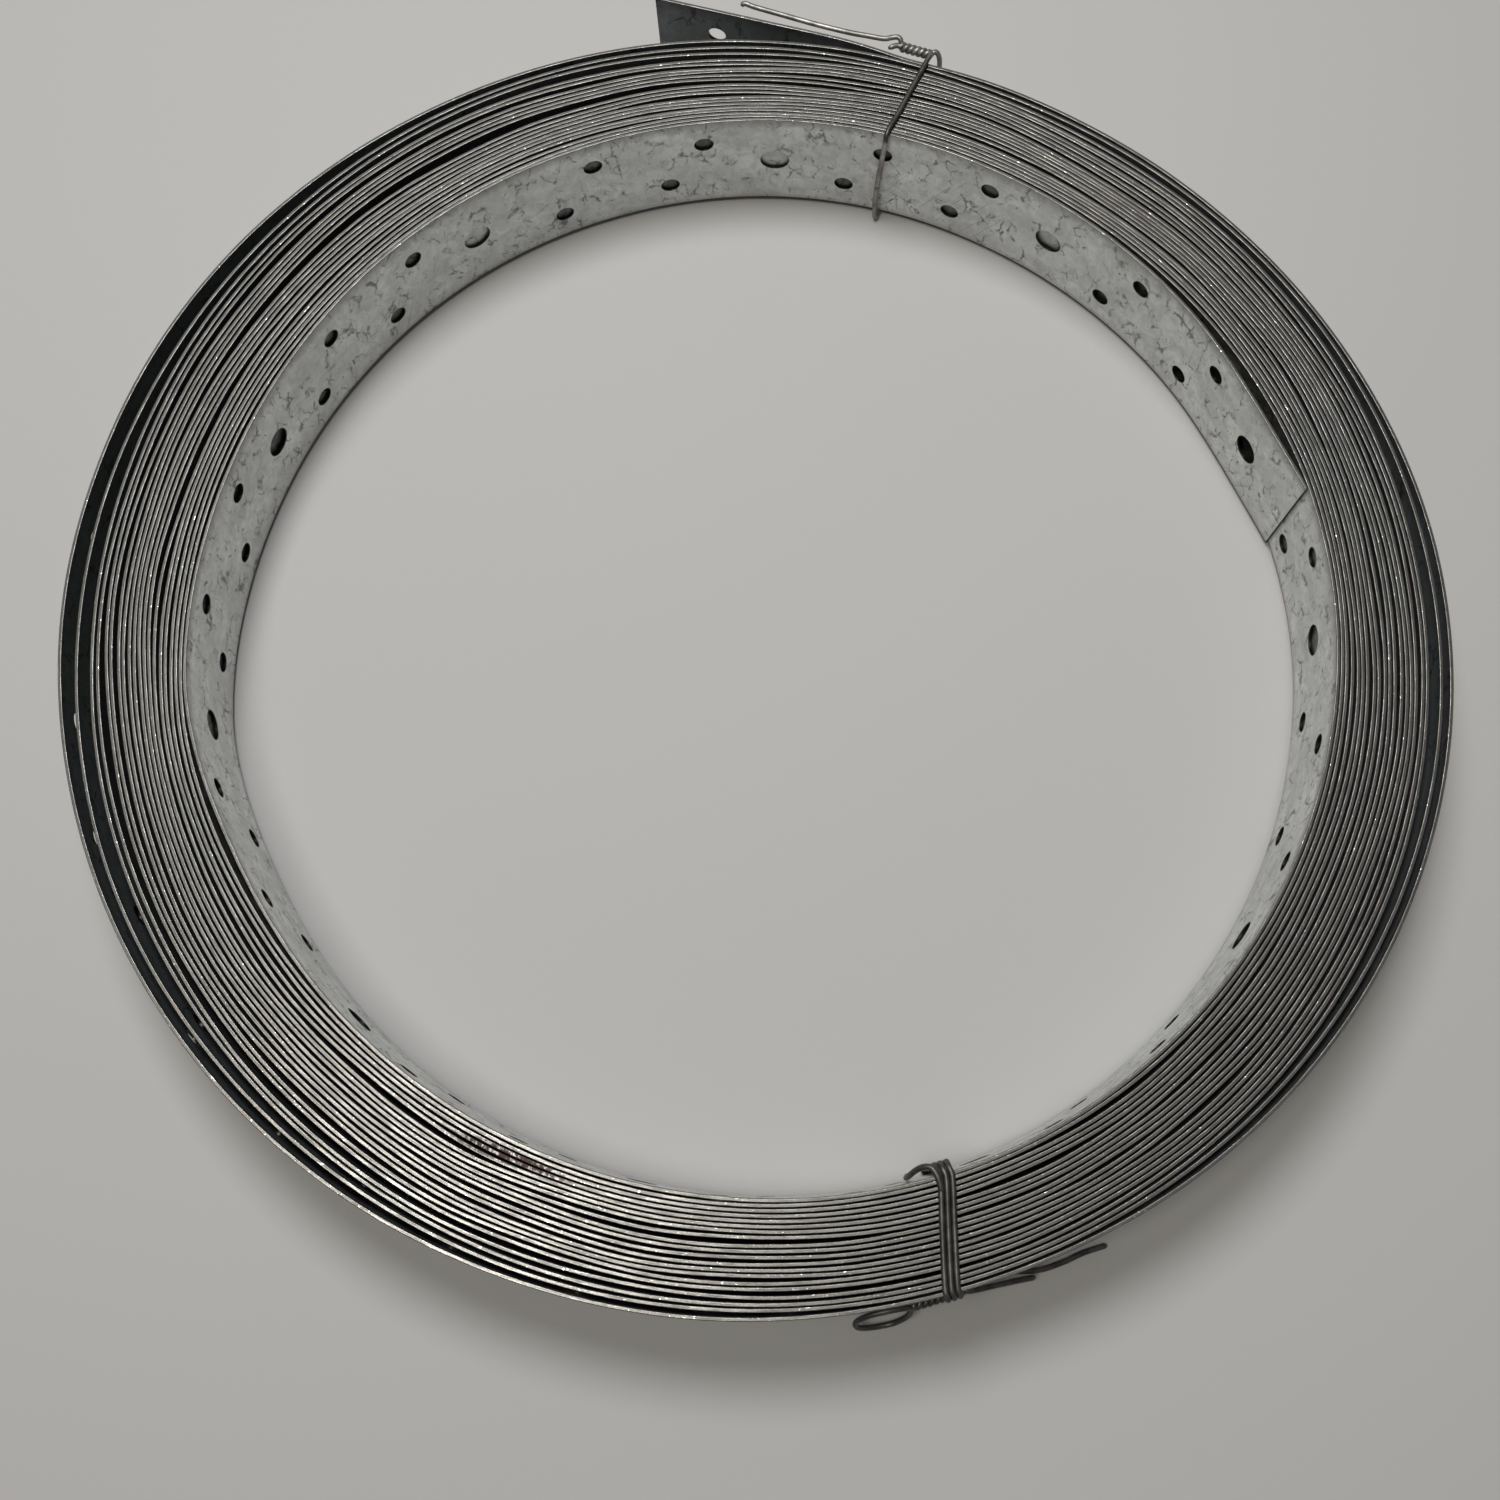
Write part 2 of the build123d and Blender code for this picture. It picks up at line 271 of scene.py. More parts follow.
def height_ripple(turns):
    """Uneven waves along the strap, which never line up from one turn to the next."""
    draw = random.Random(RIPPLE_SEED)
    total = np.zeros_like(turns)
    for count, depth in HEIGHT_RIPPLES:
        total += depth * np.sin(tau * count * turns + draw.uniform(0, tau))
        total += SHALLOWER * depth * np.sin(tau * count * FINER * turns + draw.uniform(0, tau))
    return total


def settle(radii, held, wanted):
    """These radii, moved where they aren't held until the gaps are as near as can be to those wanted."""
    radii = radii.copy()
    free_inner = ~held[:-STEPS]
    free_outer = ~held[STEPS:]
    for _ in range(SETTLING_ROUNDS):
        pitch = radii[STEPS:] - radii[:-STEPS]
        gap = np.clip(STRAP_THICK + wanted - pitch, -GAP_MOST, GAP_MOST)
        overlap = np.clip(STRAP_THICK + CLEAR - pitch, 0, OVERLAP_MOST)
        move = gap * GAP_SHARE + overlap * OVERLAP_SHARE
        radii[:-STEPS] -= move * free_inner
        radii[STEPS:] += move * free_outer
    return radii


def gaps_wanted(radii):
    """Width wanted for the gap outside each place: wide where such gaps show, and small ones anywhere."""
    draw = random.Random(GAP_SEED)
    count = len(radii) - STEPS
    gaps = []
    for angle, radius, reach, width in WIDE_GAPS:
        first = round((angle - INNER_END_ANGLE) % 360.0 / 360.0 * STEPS)
        places = np.arange(first, count, STEPS)
        between = (radii[places] + radii[places + STEPS]) / 2
        gaps.append((int(places[np.argmin(abs(between - radius))]), reach, width))
    for _ in range(SMALL_GAPS):
        centre = draw.randrange(STEPS, count)
        gaps.append((centre, draw.uniform(*SMALL_GAP_REACH), draw.uniform(*SMALL_GAP_WIDTH)))
    wanted = np.zeros(count)
    for centre, reach, width in gaps:
        near = np.arange(max(0, int(centre - reach)), min(count, int(centre + reach) + 1))
        wanted[near] += width * np.clip(1 - ((near - centre) / reach) ** 2, 0, 1) ** GAP_TAPER
    return wanted


def strap_radii(turns):
    """Radius of the strap's middle line at these places, counted in turns and STEPS of them to a turn."""
    angle = INNER_END_ANGLE + 360.0 * turns
    first = turns < 1.0
    second = (turns >= 1.0) & (turns < 2.0)
    loose = turns >= LOOSE_FROM
    share = (turns - 2.0) / (LOOSE_FROM - 2.0)
    radii = SECOND_TURN[-1][1] * (1 - share) + LOOSE_RADIUS * share
    radii[first] = curve_through(FIRST_TURN, angle[first])
    radii[second] = curve_through(SECOND_TURN, angle[second])
    radii[loose] = curve_through(LOOSE_TURNS, LOOSE_ANGLE + 360.0 * (turns[loose] - LOOSE_FROM))
    held = first | second | loose
    even = settle(radii, held, np.zeros(len(radii) - STEPS))
    radii = settle(even, held, gaps_wanted(even))
    for _ in range(SMOOTHING_ROUNDS):
        radii[1:-1] = radii[1:-1] / 2 + (radii[2:] + radii[:-2]) / 4
    for i in range(STEPS, len(radii)):
        radii[i] = max(radii[i], radii[i - STEPS] + STRAP_THICK + CLEAR / 2)
    return radii


class Route:
    """The strap's middle line, as functions of the distance from its inner end."""

    def __init__(self):
        turns = np.arange(0, END_TURNS, 1.0 / STEPS)
        radii = strap_radii(turns)
        angle = np.radians(INNER_END_ANGLE + 360.0 * turns)
        coil = np.stack([radii * np.cos(angle), radii * np.sin(angle)], 1)
        beyond = np.arange(TAIL_STEP, TAIL_LENGTH + TAIL_STEP / 2, TAIL_STEP)
        spring = TAIL_SPRING * (1 - np.exp(-(beyond / TAIL_SPRING_REACH) ** 2))
        self.line = np.concatenate([coil, coil[-1] + np.stack([-beyond, spring], 1)])
        self.length_at = np.concatenate([[0], np.cumsum(np.hypot(*np.diff(self.line, axis=0).T))])
        heading = np.gradient(self.line, self.length_at, axis=0)
        self.heading = heading / np.hypot(*heading.T)[:, None]
        self.turns = np.concatenate([turns, np.full(len(beyond), END_TURNS)])
        self.length = self.length_at[-1]

    def at(self, along):
        """Point, heading and outward direction on the plane at these distances."""
        point = np.stack([np.interp(along, self.length_at, self.line[:, k]) for k in (0, 1)], 1)
        head = np.stack([np.interp(along, self.length_at, self.heading[:, k]) for k in (0, 1)], 1)
        head /= np.hypot(*head.T)[:, None]
        return point, head, np.stack([head[:, 1], -head[:, 0]], 1)

    def along(self, turns):
        """Distance from the inner end at which the strap has made so many turns."""
        return float(np.interp(turns, self.turns, self.length_at))

    def lift(self, along):
        """How far the strap's edges stand above or below their mean height."""
        return height_ripple(np.interp(along, self.length_at, self.turns))


def holes_between(low, high, start, way):
    """Distance along, height and radius of the holes, in groups that follow the first one on or back."""
    holes = []
    number = 0
    while low - GROUP_LENGTH < start < high:
        for distance, row, size in GROUP:
            if low < start + distance < high:
                holes.append((start + distance, row * ROW_OFFSET, size / 2))
        start += way * GROUP_SPACINGS[number % len(GROUP_SPACINGS)]
        number += 1
    return holes


def punched_holes(route):
    """The holes that can be seen, of the inner turns and of the outer ones with the tail."""
    inner_stop = route.along(INNER_PUNCHED) - LARGE_HOLE
    outer_start = route.along(END_TURNS - OUTER_PUNCHED) + LARGE_HOLE
    inner = holes_between(0.0, inner_stop, FIRST_GROUP, 1)
    outer = holes_between(outer_start, route.length - SMALL_HOLE, route.length - CUT_AFTER_GROUP, -1)
    return inner + outer


def columns_between(start, stop, step):
    """Places along the strap from start to stop, about one step apart."""
    count = max(1, round((stop - start) / step))
    return [start + (stop - start) * i / count for i in range(count + 1)]


def panel_outline(columns, rows, holes):
    """Points of the flat strap, with the edges along its long sides and round its holes."""
    half = HALF_WIDTH - EDGE_ROUND
    points, low, top = [], [], []
    for i, x in enumerate(columns):
        low.append(len(points))
        points.append((x, -half))
        top.append(len(points))
        points.append((x, half))
        inner_rows = rows if 0 < i < len(columns) - 1 else ROWS
        for y in inner_rows:
            if all((x - hx) ** 2 + (y - hy) ** 2 > (hr + HOLE_MARGIN) ** 2 for hx, hy, hr in holes):
                points.append((x, y))
    edges = [*zip(low, low[1:]), *zip(top, top[1:])]
    for hx, hy, hr in holes:
        first = len(points)
        rim = hr + EDGE_ROUND
        points += [(hx + rim * u, hy + rim * v) for u, v in HOLE_CIRCLE]
        edges += [(first + k, first + (k + 1) % HOLE_SIDES) for k in range(HOLE_SIDES)]
    return points, edges


def flat_panel(columns, rows, holes):
    """Points and triangles of the flat strap between its first and last columns, open at the holes."""
    points, edges = panel_outline(columns, rows, holes)
    flat, _, faces, _, _, _ = delaunay_2d_cdt([Vector(p) for p in points], edges, [], 0, SAME_POINT)
    rim_of = {}
    for i, v in enumerate(flat):
        for number, (hx, hy, hr) in enumerate(holes):
            if (v.x - hx) ** 2 + (v.y - hy) ** 2 < (hr + EDGE_ROUND + ON_RIM) ** 2:
                rim_of[i] = number
    kept = []
    for face in faces:
        rims = {rim_of.get(i) for i in face}
        if None in rims or len(rims) > 1:
            kept.append(tuple(face))
    return [(v.x, v.y) for v in flat], kept


def new_piece(name, verts, faces, normals=None, materials=(), face_material=None, places=None):
    """A mesh object from millimetre points, riding on the part's one body."""
    mesh = bpy.data.meshes.new(name)
    mesh.from_pydata([tuple(v) for v in np.asarray(verts) * MM], [], faces)
    for material in materials:
        mesh.materials.append(material)
    if face_material is not None:
        mesh.polygons.foreach_set("material_index", face_material)
    mesh.polygons.foreach_set("use_smooth", [True] * len(mesh.polygons))
    if places is not None:
        attribute = mesh.attributes.new("strap_place", "FLOAT_VECTOR", "POINT")
        attribute.data.foreach_set("vector", (np.asarray(places, np.float32) * MM).ravel())
    mesh.validate()
    if normals is not None:
        mesh.normals_split_custom_set_from_vertices([tuple(n) for n in normals])
    mesh.update()
    piece = bpy.data.objects.new(name, mesh)
    bpy.context.scene.collection.objects.link(piece)
    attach(piece, "root")
    return piece


class StrapMesh:
    """Collects the strap's points, each kept once, and its faces."""

    def __init__(self, route):
        self.route = route
        self.flat, self.depth, self.facing = [], [], []
        self.index = {}
        self.faces, self.face_material = [], []

    def vertex(self, x, y, depth, facing):
        """A point at x along the strap and y across it, with its normal as along, across, outward."""
        key = (round(x, SAME_DIGITS), round(y, SAME_DIGITS), round(depth, SAME_DIGITS))
        if key not in self.index:
            self.index[key] = len(self.flat)
            self.flat.append((x, y))
            self.depth.append(depth)
            self.facing.append(facing)
        return self.index[key]

    def face(self, corners, material, forward=True):
        """A face with its corners in this order, or in the other one."""
        self.faces.append(corners if forward else corners[::-1])
        self.face_material.append(material)

    def points(self):
        """Places in the part's frame, normals, and places on the strap, of all points."""
        flat = np.array(self.flat)
        depth = np.array(self.depth)
        facing = np.array(self.facing, float)
        point, head, out = self.route.at(flat[:, 0])
        lift = self.route.lift(flat[:, 0])
        verts = np.column_stack([point + out * depth[:, None], MIDDLE + flat[:, 1] + lift])
        normals = np.column_stack([head * facing[:, :1] + out * facing[:, 2:], facing[:, 1]])
        return verts, normals, np.column_stack([flat, depth])


def flat_faces(build, columns, rows, holes):
    """The inner and the outer flat face of one stretch."""
    flat, triangles = flat_panel(columns, rows, holes)
    for side in (-1, 1):
        corner = [build.vertex(x, y, side * HALF_THICK, (0, 0, side)) for x, y in flat]
        for a, b, c in triangles:
            (ax, ay), (bx, by), (cx, cy) = flat[a], flat[b], flat[c]
            left = (bx - ax) * (cy - ay) - (by - ay) * (cx - ax) > 0
            order = (a, b, c) if left == (side > 0) else (a, c, b)
            build.face(tuple(corner[i] for i in order), FACE)


def long_edges(build, columns):
    """The sheared edges below and above one stretch, rounded toward both faces."""
    for up in (-1, 1):
        facings = ((0, 0, -1), (0, up, 0), (0, up, 0), (0, 0, 1))
        rings = []
        for x in columns:
            rings.append([build.vertex(x, up * (HALF_WIDTH - back), depth, facing)
                          for (back, depth), facing in zip(EDGE_STEPS, facings)])
        for a, b in zip(rings, rings[1:]):
            for k in range(len(EDGE_STEPS) - 1):
                build.face((a[k], a[k + 1], b[k + 1], b[k]), EDGE, up > 0)


def hole_walls(build, holes):
    """The walls of the punched holes, rounded toward both faces."""
    for hx, hy, hr in holes:
        rings = []
        for back, depth in EDGE_STEPS:
            rim = hr + back
            rings.append([build.vertex(hx + rim * u, hy + rim * v, depth, (-u, -v, 0))
                          for u, v in HOLE_CIRCLE])
        for a, b in zip(rings, rings[1:]):
            for k in range(HOLE_SIDES):
                j = (k + 1) % HOLE_SIDES
                build.face((a[k], b[k], b[j], a[j]), EDGE)


def strap_end(build, x, way):
    """The cut face across the strap at one of its ends."""
    heights = [-HALF_WIDTH + EDGE_ROUND, *ROWS, HALF_WIDTH - EDGE_ROUND]
    pairs = [(build.vertex(x, y, -HALF_THICK, (0, 0, -1)), build.vertex(x, y, HALF_THICK, (0, 0, 1)))
             for y in heights]
    for (a, b), (c, d) in zip(pairs, pairs[1:]):
        build.face((a, c, d, b), EDGE, way > 0)
    for up, near in ((-1, pairs[0]), (1, pairs[-1])):
        inner, outer = [build.vertex(x, up * HALF_WIDTH, depth, (0, up, 0)) for _, depth in EDGE_STEPS[1:3]]
        build.face((near[0], inner, outer, near[1]), EDGE, (way > 0) == (up > 0))


def make_strap(route, materials):
    """The whole strap as one mesh, finer on the turns whose holes can be seen."""
    build = StrapMesh(route)
    holes = punched_holes(route)
    inner = route.along(INNER_PUNCHED)
    outer = route.along(END_TURNS - OUTER_PUNCHED)
    stretches = ((0.0, inner, PUNCHED_STEP, ROWS), (inner, outer, PLAIN_STEP, ()),
                 (outer, route.length, PUNCHED_STEP, ROWS))
    for start, stop, step, rows in stretches:
        columns = columns_between(start, stop, step)
        inside = [hole for hole in holes if start < hole[0] < stop]
        flat_faces(build, columns, rows, inside)
        long_edges(build, columns)
        hole_walls(build, inside)
    strap_end(build, 0.0, -1)
    strap_end(build, route.length, 1)
    verts, normals, places = build.points()
    piece = new_piece("punched_strap", verts, build.faces, normals, materials, build.face_material, places)
    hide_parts("strap_coil")


def smooth_path(points):
    """Points sampled evenly along a smooth curve through these."""
    points = [np.array(p, float) for p in points]
    padded = [2 * points[0] - points[1], *points, 2 * points[-1] - points[-2]]
    dense = []
    for a, b, c, d in zip(padded, padded[1:], padded[2:], padded[3:]):
        for i in range(CURVE_POINTS):
            u = i / CURVE_POINTS
            bend = (2 * a - 5 * b + 4 * c - d) * u**2
            swing = (3 * b - a - 3 * c + d) * u**3
            dense.append((2 * b + (c - a) * u + bend + swing) / 2)
    dense.append(points[-1])
    dense = np.array(dense)
    length = np.concatenate([[0], np.cumsum(np.linalg.norm(np.diff(dense, axis=0), axis=1))])
    places = np.linspace(0, length[-1], max(2, int(length[-1] / WIRE_STEP)))
    return np.stack([np.interp(places, length, dense[:, k]) for k in range(3)], 1)


def tube(path):
    """Points and faces of a round wire along this path, narrowed at its tips."""
    path = np.asarray(path, float)
    heading = np.gradient(path, axis=0)
    heading /= np.linalg.norm(heading, axis=1)[:, None]
    across = np.cross(heading[0], RING_START)
    verts, faces, rings = [], [], []
    last = len(path) - 1
    for i, (point, head) in enumerate(zip(path, heading)):
        across = across - head * across.dot(head)
        across /= np.linalg.norm(across)
        other = np.cross(head, across)
        size = WIRE / 2 * (WIRE_TIP if i in (0, last) else 1.0)
        rings.append(len(verts))
        for k in range(WIRE_SIDES):
            turn = tau * k / WIRE_SIDES
            verts.append(point + size * (cos(turn) * across + sin(turn) * other))
    for a, b in zip(rings, rings[1:]):
        for k in range(WIRE_SIDES):
            j = (k + 1) % WIRE_SIDES
            faces.append((a + k, a + j, b + j, b + k))
    faces.append(tuple(range(rings[0], rings[0] + WIRE_SIDES))[::-1])
    faces.append(tuple(range(rings[-1], rings[-1] + WIRE_SIDES)))
    return verts, faces


def make_tie(name, node, paths, material):
    """One tie from the paths of its wire's stretches."""
    verts, faces = [], []
    for path in paths:
        more, rings = tube(path)
        faces += [tuple(len(verts) + i for i in face) for face in rings]
        verts += more
    piece = new_piece(name, verts, faces, materials=[material])
    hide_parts(node)


def at_angle(angle, points):
    """Points given as radius, distance anticlockwise and height at this angle, in the part's frame."""
    a = radians(angle)
    return [(r * cos(a) - s * sin(a), r * sin(a) + s * cos(a), z) for r, s, z in points]


def twisted(start, stop, turns, apart, phase=0.0):
    """Two wires wound round each other from start to stop, this far from the line between."""
    start, stop = np.array(start, float), np.array(stop, float)
    axis = stop - start
    length = np.linalg.norm(axis)
    axis /= length
    side = np.cross(axis, (0, 0, 1))
    side /= np.linalg.norm(side)
    up = np.cross(side, axis)
    count = int(turns * TWIST_POINTS)
    strands = []
    for half_turn in (0.0, pi):
        strand = []
        for i in range(count + 1):
            turn = phase + tau * turns * i / count + half_turn
            strand.append(start + axis * length * i / count + apart * (cos(turn) * side + sin(turn) * up))
        strands.append(strand)
    return strands


def upper_tie_paths():
    """Both ends of the upper tie's wire: one over the turns and one under them, wound together outside."""
    high = TOP + OVER_STRAP
    low = BOTTOM - OVER_STRAP
    one, two = twisted((2.2, 140.8, 31.3), (-4.7, 141.0, 31.6), turns=2.8, apart=0.6, phase=0.4)
    in_bore = (-3.1, 116.9, MIDDLE - 4)
    over = [in_bore, (-2.6, 116.9, MIDDLE + 5), (-2.1, 116.8, high - 2.8), (-2.1, 117.3, high - 0.6),
            (-1.9, 119.2, high), (-0.8, 123.9, high), (0.5, 130.7, high), (1.6, 136.0, high),
            (2.2, 138.8, high + 0.2), (2.6, 140.2, high + 0.1), one[0]]
    under = [in_bore, (-3.2, 116.8, low + 5.0), (-2.9, 115.9, low + 1.9), (-2.6, 116.1, low + 0.3),
             (-2.4, 118.0, low), (-0.6, 127.5, low), (2.6, 137.0, low), (3.6, 139.8, low + 0.6),
             (4.1, 140.9, low + 3.0), (4.5, 141.0, MIDDLE), (4.8, 141.1, high - 5.0),
             (4.3, 141.4, high - 1.4), (3.2, 141.6, high - 0.5), two[0]]
    tail = [one[-1], (-5.0, 142.2, 32.3), (-5.9, 142.6, 32.5), (-7.2, 142.2, 32.4), (-8.8, 141.5, 32.4),
            (-12.4, 141.3, 32.4), (-17.3, 141.1, 32.4), (-24.9, 141.3, 32.4), (-32.6, 141.8, 32.4),
            (-39.7, 142.2, 32.5), (-42.2, 142.5, 32.6), (-42.9, 141.9, 32.2)]
    stub = [two[-1], (-5.6, 140.6, 32.2), (-7.2, 139.4, 32.3)]
    return [np.concatenate([smooth_path(over), one[1:-1], smooth_path(tail)]),
            np.concatenate([smooth_path(under), two[1:-1], smooth_path(stub)])]


def lower_tie_paths():
    """The lower tie: three passes, a bow into the bore, and outside a twist with a loop and two tails."""
    near, far = 117.3, 140.9
    between = (near + far) / 2
    low = BOTTOM - BELOW_LOWER_TIE
    high = TOP + OVER_STRAP
    paths = []
    for number in range(LOWER_TIE_PASSES):
        side = (number - 1) * LOWER_TIE_PITCH
        inner, outer, crossing = side + 2.7, side - 2.3, side + 0.2
        paths.append([
            (near, inner, MIDDLE), (near - 0.5, inner, high - 4.0), (near - 0.5, inner, high - 1.4),
            (near + 0.7, inner, high - 0.1), (near + 2.8, inner, high), (between, crossing, high),
            (far - 2.4, outer, high), (far - 0.6, outer, high - 0.4), (far, outer, high - 2.4),
            (far, outer, MIDDLE), (far, outer, low + 2.4), (far - 0.4, outer, low + 0.5),
            (far - 2.2, outer, low), (between, crossing, low), (near + 2.4, inner, low),
            (near + 0.5, inner, low + 0.5), (near, inner, low + 2.4), (near, inner, MIDDLE)])
    paths.append([
        (near + 4.6, 1.2, high + 0.1), (near + 1.6, 1.3, high + 0.5), (near - 0.4, 0.6, high + 0.3),
        (near - 0.9, -0.9, high - 0.5), (near - 0.6, -2.4, high - 2.2), (near, -3.5, high - 4.8),
        (near + 0.3, -3.9, high - 9.0), (near + 0.3, -3.0, MIDDLE - 3.0)])
    one, two = twisted((141.9, -9.8, 10.6), (141.9, 0.6, 10.2), turns=4.0, apart=0.62)
    # Both ends of the loop run a little way into the twist
    paths.append([one[8], one[2], *LOWER_LOOP, two[2], two[8]])
    paths += [[*strand, *tail] for strand, tail in zip((one, two), LOWER_TAILS)]
    return [smooth_path(at_angle(LOWER_TIE_ANGLE, path)) for path in paths]


class Maker:
    """A material, and short ways to add the nodes that it uses."""

    def __init__(self, name):
        self.material = bpy.data.materials.new(name)
        self.material.use_nodes = True
        self.tree = self.material.node_tree
        self.tree.nodes.clear()
        self.shader = self.add("ShaderNodeBsdfPrincipled")
        self.add("ShaderNodeOutputMaterial", {"Surface": self.shader.outputs[0]})

    def put(self, socket, value):
        """Sets a number, a vector or a colour, or joins another node's output."""
        if isinstance(value, bpy.types.NodeSocket):
            self.tree.links.new(value, socket)
        elif socket.type == "RGBA":
            socket.default_value = (*value, 1.0)
        else:
            socket.default_value = value

    def add(self, kind, inputs=None, **settings):
        node = self.tree.nodes.new(kind)
        for name, value in settings.items():
            setattr(node, name, value)
        for name, value in (inputs or {}).items():
            self.put(node.inputs[name], value)
        return node

    def surface(self, **values):
        """Sets the shader's own sockets: base_color, roughness, metallic and normal."""
        for name, value in values.items():
            self.put(self.shader.inputs[name.replace("_", " ").title()], value)

    def place_on_strap(self):
        """Distance along, height and depth on the strap, in metres."""
        return self.add("ShaderNodeAttribute", attribute_name="strap_place").outputs["Vector"]

    def place_in_part(self):
        return self.add("ShaderNodeTexCoord").outputs["Object"]

    def parts(self, vector, *names):
        node = self.add("ShaderNodeSeparateXYZ", {"Vector": vector})
        return [node.outputs[name] for name in names]

    def stretch(self, vector, scale, turn=0.0):
        """These places times the scale, after a turn in radians about the third axis."""
        kind = "TEXTURE" if turn else "POINT"
        sizes = tuple(1 / size for size in scale) if turn else scale
        inputs = {"Vector": vector, "Rotation": (0, 0, turn), "Scale": sizes}
        return self.add("ShaderNodeMapping", inputs, vector_type=kind).outputs[0]

    def noise(self, vector, scale, detail, rough=0.5, distort=0.0, turn=0.0):
        """Noise whose pattern comes so many times to a metre in each direction."""
        place = self.stretch(vector, scale, turn)
        inputs = {"Vector": place, "Scale": 1.0, "Detail": detail, "Roughness": rough, "Distortion": distort}
        return self.add("ShaderNodeTexNoise", inputs).outputs["Fac"]

    def ramp(self, value, low, high, first=0.0, last=1.0):
        """From first to last while the value goes from low to high."""
        inputs = {"Value": value, "From Min": low, "From Max": high, "To Min": first, "To Max": last}
        return self.add("ShaderNodeMapRange", inputs).outputs[0]

    def past(self, along, place):
        """1 past this place along the strap and 0 before it."""
        return self.ramp(along, *metres(place, place + BLEND))

    def math(self, kind, a, b=0.0):
        return self.add("ShaderNodeMath", {0: a, 1: b}, operation=kind).outputs[0]

    def times(self, a, b):
        return self.math("MULTIPLY", a, b)

    def without(self, value):
        """1 less the value."""
        return self.math("SUBTRACT", 1.0, value)

    def mix(self, factor, a, b, kind="MIX"):
        """Colour a where the factor is 0 and b where it is 1, or a times b with kind MULTIPLY."""
        node = self.add("ShaderNodeMix", {0: factor}, data_type="RGBA", blend_type=kind)
        for socket, value in zip([s for s in node.inputs if s.type == "RGBA"], (a, b)):
            self.put(socket, value)
        return next(s for s in node.outputs if s.type == "RGBA")

    def bump(self, height, distance, strength, before=None):
        """Normals of a surface that is uneven by this distance, on top of those before."""
        inputs = {"Height": height, "Distance": distance * MM, "Strength": strength}
        node = self.add("ShaderNodeBump", inputs)
        if before is not None:
            self.put(node.inputs["Normal"], before)
        return node.outputs[0]


def zinc_marks(make, place, blotch, mottle):
    """Where the coating has short broken cracks, or flecks that slant across the strap."""
    wander = make.add("ShaderNodeTexNoise", {"Vector": place, "Scale": 420.0, "Detail": 2.0})
    inputs = {0: wander.outputs["Color"], 1: metres(*CRACK_WANDER), 2: place}
    wandered = make.add("ShaderNodeVectorMath", inputs, operation="MULTIPLY_ADD").outputs[0]
    inputs = {"Vector": make.stretch(wandered, (300, 170, 1)), "Scale": 1.0}
    cells = make.add("ShaderNodeTexVoronoi", inputs, feature="DISTANCE_TO_EDGE").outputs["Distance"]
    uneven = make.times(make.math("SUBTRACT", mottle, 0.5), 0.4)
    crack = make.ramp(make.math("ADD", cells, uneven), 0.01, 0.09, 1.0, 0.0)
    cracked = make.ramp(make.noise(place, (210, 150, 1), 3.0, 0.6), 0.50, 0.60)
    fleck = make.noise(place, (640, 300, 1), 3.0, 0.65, distort=0.9, turn=-0.4)
    flecks = make.times(make.ramp(fleck, 0.62, 0.68), make.ramp(blotch, 0.42, 0.56))
    return make.math("MAXIMUM", make.times(crack, cracked), flecks)


def zinc_scratches(make, place):
    """Where the coating has fine slanting scratches, in some stretches only."""
    scratch = make.noise(place, (3200, 26, 1), 1.0, turn=0.5)
    scratched = make.noise(place, (14, 30, 1), 1.0)
    return make.times(make.ramp(scratch, 0.66, 0.73), make.ramp(scratched, 0.55, 0.66))


def paint_shade_between_turns(make, route, along, depth, colour):
    """The coating with painted shade where another turn lies against it, inside the last turn and the tail,
    and outside the first two turns.
    """
    past_second = make.past(along, route.along(2.0))
    before_last = make.without(make.past(along, route.along(END_TURNS - 1.0)))
    inside = make.math("LESS_THAN", depth, 0.0)
    later = make.times(past_second, make.math("MAXIMUM", before_last, inside))
    outside_first = make.times(make.without(inside), make.without(past_second))
    loose = make.past(along, route.along(END_TURNS - 3.0))
    # Painted shade: darker among the packed turns, less dark among the loose outer ones
    shade = make.mix(loose, PAINTED_SHADE_PACKED, PAINTED_SHADE_LOOSE)
    return make.mix(make.math("MAXIMUM", later, outside_first), colour, shade, "MULTIPLY")


def paint_shade_behind_holes(make, route, along, across, mottle, colour):
    """The coating with painted shade on the second turn, but for a painted pool of light on the band that
    light reaches through large holes.
    """
    start = route.along(1.0)
    second = make.times(make.past(along, start), make.without(make.past(along, route.along(2.0))))
    lit = make.times(make.ramp(along, *metres(start + PAINTED_LIGHT_FROM[0], start + PAINTED_LIGHT_FROM[1])),
                     make.ramp(along, *metres(start + PAINTED_LIGHT_TO[0], start + PAINTED_LIGHT_TO[1]), 1.0, 0.0))
    band = make.math("LESS_THAN", make.math("ABSOLUTE", across), PAINTED_LIGHT_HALF_HEIGHT * MM)
    # Painted shade on the second turn, uneven with the mottle, and painted light on the band behind the
    # large holes
    shade = make.mix(make.times(lit, band), make.ramp(mottle, 0.35, 0.65, 0.10, 0.34), PAINTED_LIGHT_COLOUR)
    return make.mix(second, colour, shade, "MULTIPLY")


